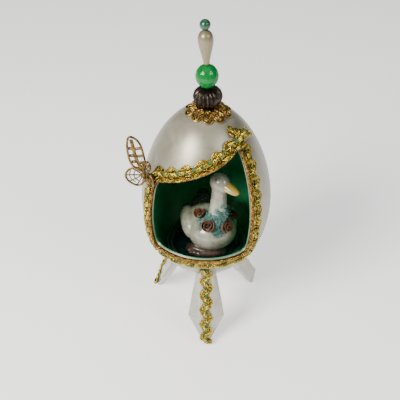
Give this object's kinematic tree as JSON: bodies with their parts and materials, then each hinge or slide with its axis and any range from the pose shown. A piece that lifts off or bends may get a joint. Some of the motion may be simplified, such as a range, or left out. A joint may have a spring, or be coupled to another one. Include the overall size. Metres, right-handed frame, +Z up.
{
  "type": "window diorama egg ornament",
  "caption": "Decorated blown goose egg with a window and goose scene inside, braid trims, beaded finial, butterfly and clear prism legs.",
  "frame": {"origin": "middle of the outline, on the surface that the three feet stand on", "axes": "+Z up along the egg, -Y out of the window, +X to the viewer's right"},
  "size_m": [0.0626, 0.0591, 0.1489],
  "materials": {
    "eggshell": "pearl lacquer over eggshell",
    "green_enamel": "dark green enamel with fine glitter",
    "milled_green": "milled green ring, satin",
    "pond_glaze": "near-black teal gloss",
    "goose_glaze": "white glazed composition, ochre bill",
    "ground_glaze": "brown glossy ground",
    "moss": "teal moss",
    "rose": "rolled brown ribbon with copper edge",
    "gold_cord": "twisted metallic gold thread",
    "green_cord": "green satin cord",
    "filigree": "gold-plated stamped filigree",
    "antique_bronze": "dark antiqued fluted bead",
    "green_glass": "clear emerald, cut",
    "cream_pearl": "champagne pearl lustre",
    "green_pearl": "dark green pearl",
    "pin_steel": "bright wire",
    "glue": "clear amber glue",
    "clear_acrylic": "clear faceted acrylic"
  },
  "bodies": {
    "root": {"egg_shell": "eggshell", "green_lining": "green_enamel", "floor_disc": "green_enamel", "milled_ring": "milled_green", "pond_disc": "pond_glaze", "goose": "goose_glaze", "goose_ground": "ground_glaze", "moss_collar": "moss", "rose_left": "rose", "rose_breast_left": "rose", "rose_breast_right": "rose", "rose_right": "rose", "edge_cord": "gold_cord", "window_braid": "gold_cord", "window_braid_core": "green_cord", "butterfly": "filigree", "bead_cap": "filigree", "fluted_bead": "antique_bronze", "faceted_bead": "green_glass", "drop_bead": "cream_pearl", "top_bead": "green_pearl", "finial_pin": "pin_steel", "pin_glue": "glue", "leg_front": "clear_acrylic", "leg_left": "clear_acrylic", "leg_right": "clear_acrylic", "leg_braid_front": "gold_cord", "leg_braid_left": "gold_cord", "leg_braid_right": "gold_cord", "leg_core_front": "green_cord", "leg_core_left": "green_cord", "leg_core_right": "green_cord"}
  },
  "joints": []
}
